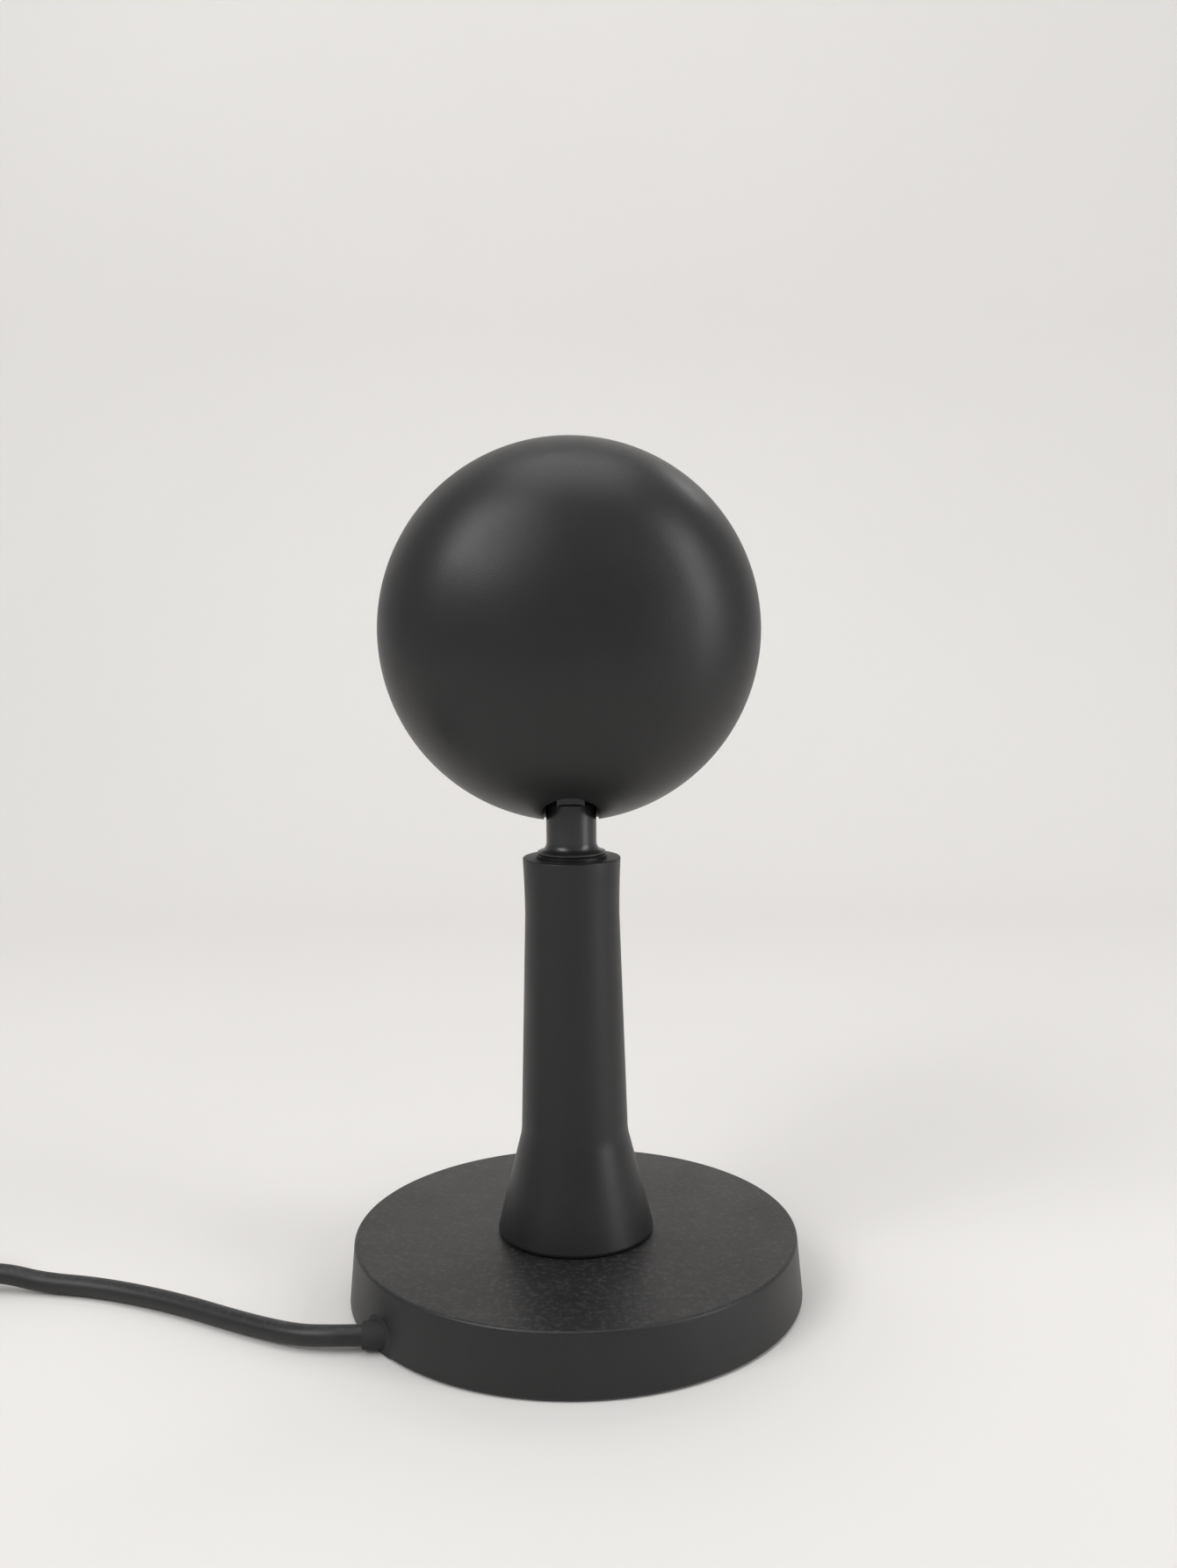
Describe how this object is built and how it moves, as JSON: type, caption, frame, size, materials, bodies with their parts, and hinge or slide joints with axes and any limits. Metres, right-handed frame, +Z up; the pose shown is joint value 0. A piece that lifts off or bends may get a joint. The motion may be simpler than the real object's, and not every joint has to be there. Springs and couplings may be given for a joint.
{
  "type": "sunset projection lamp",
  "caption": "Sunset projection lamp: round weighted base, flared column, turning neck and a tilting domed head with a projection lens, on a thin lead with an inline switch and a flat plug.",
  "frame": {"origin": "on the surface that the lamp stands on, under the column's axis", "axes": "+Z up along the column, +Y the way the lens looks, +X to the right seen from behind the head"},
  "size_m": [0.2959, 0.1294, 0.1916],
  "materials": {
    "cover": "satin",
    "shell": "satin",
    "weight": "matte",
    "foot": "matte",
    "screws": "satin",
    "bush": "satin",
    "neck": "satin",
    "washers": "satin",
    "lens": "polished",
    "seal": "matte",
    "barrel": "satin",
    "filter": "polished",
    "ring": "matte",
    "reflector": "polished",
    "led_board": "matte",
    "emitter": "gloss",
    "sink": "satin",
    "pad": "matte",
    "board": "gloss",
    "electronics": "matte",
    "wires": "satin",
    "chassis": "satin",
    "friction": "matte",
    "lead": "satin",
    "switch": "satin",
    "button": "satin",
    "grip": "satin",
    "contact": "polished",
    "carrier": "gloss"
  },
  "bodies": {
    "base": {"base_cover": "cover", "base_weight": "weight", "foot_pad": "foot", "cover_screws": "screws", "column": "cover", "column_screws": "screws", "swivel_bush": "bush", "cord_grommet": "lead", "cord_tail": "lead", "column_wires": "wires", "switch_lower": "switch", "switch_upper": "switch", "switch_board": "board", "cord_lead": "lead", "cord_coil": "lead", "plug_grip": "grip", "plug_shell": "contact", "plug_tongue": "carrier"},
    "neck": {"neck": "neck", "stop_washer": "washers", "spring_washer": "washers", "swivel_nut": "washers"},
    "head": {"rear_shell": "shell", "front_bezel": "shell", "lens": "lens", "lens_seal": "seal", "lens_barrel": "barrel", "colour_filter": "filter", "filter_ring": "ring", "reflector": "reflector", "led_board": "led_board", "led_emitter": "emitter", "heat_sink": "sink", "driver_pad": "pad", "driver_board": "board", "driver_parts": "electronics", "led_wires": "wires", "chassis_plate": "chassis", "pivot_bracket": "chassis", "pivot_screw": "screws", "pivot_nut": "washers", "friction_washers": "friction", "chassis_screws": "screws", "barrel_screws": "screws", "sink_screws": "screws", "bracket_screws": "screws"},
    "button": {"switch_button": "button"}
  },
  "joints": [
    {"name": "neck_swivel", "type": "hinge", "parent": "base", "child": "neck", "pos_m": [0, 0, 0.0998], "axis": [0, 0, 1], "range_deg": [-90, 90]},
    {"name": "head_tilt", "type": "hinge", "parent": "neck", "child": "head", "pos_m": [0, 0, 0.12], "axis": [1, 0, 0], "range_deg": [-15, 45]},
    {"name": "button_press", "type": "slide", "parent": "base", "child": "button", "axis": [0, 0, -1], "range_m": [0, 0.0012], "stiffness_N_per_m": 400}
  ]
}
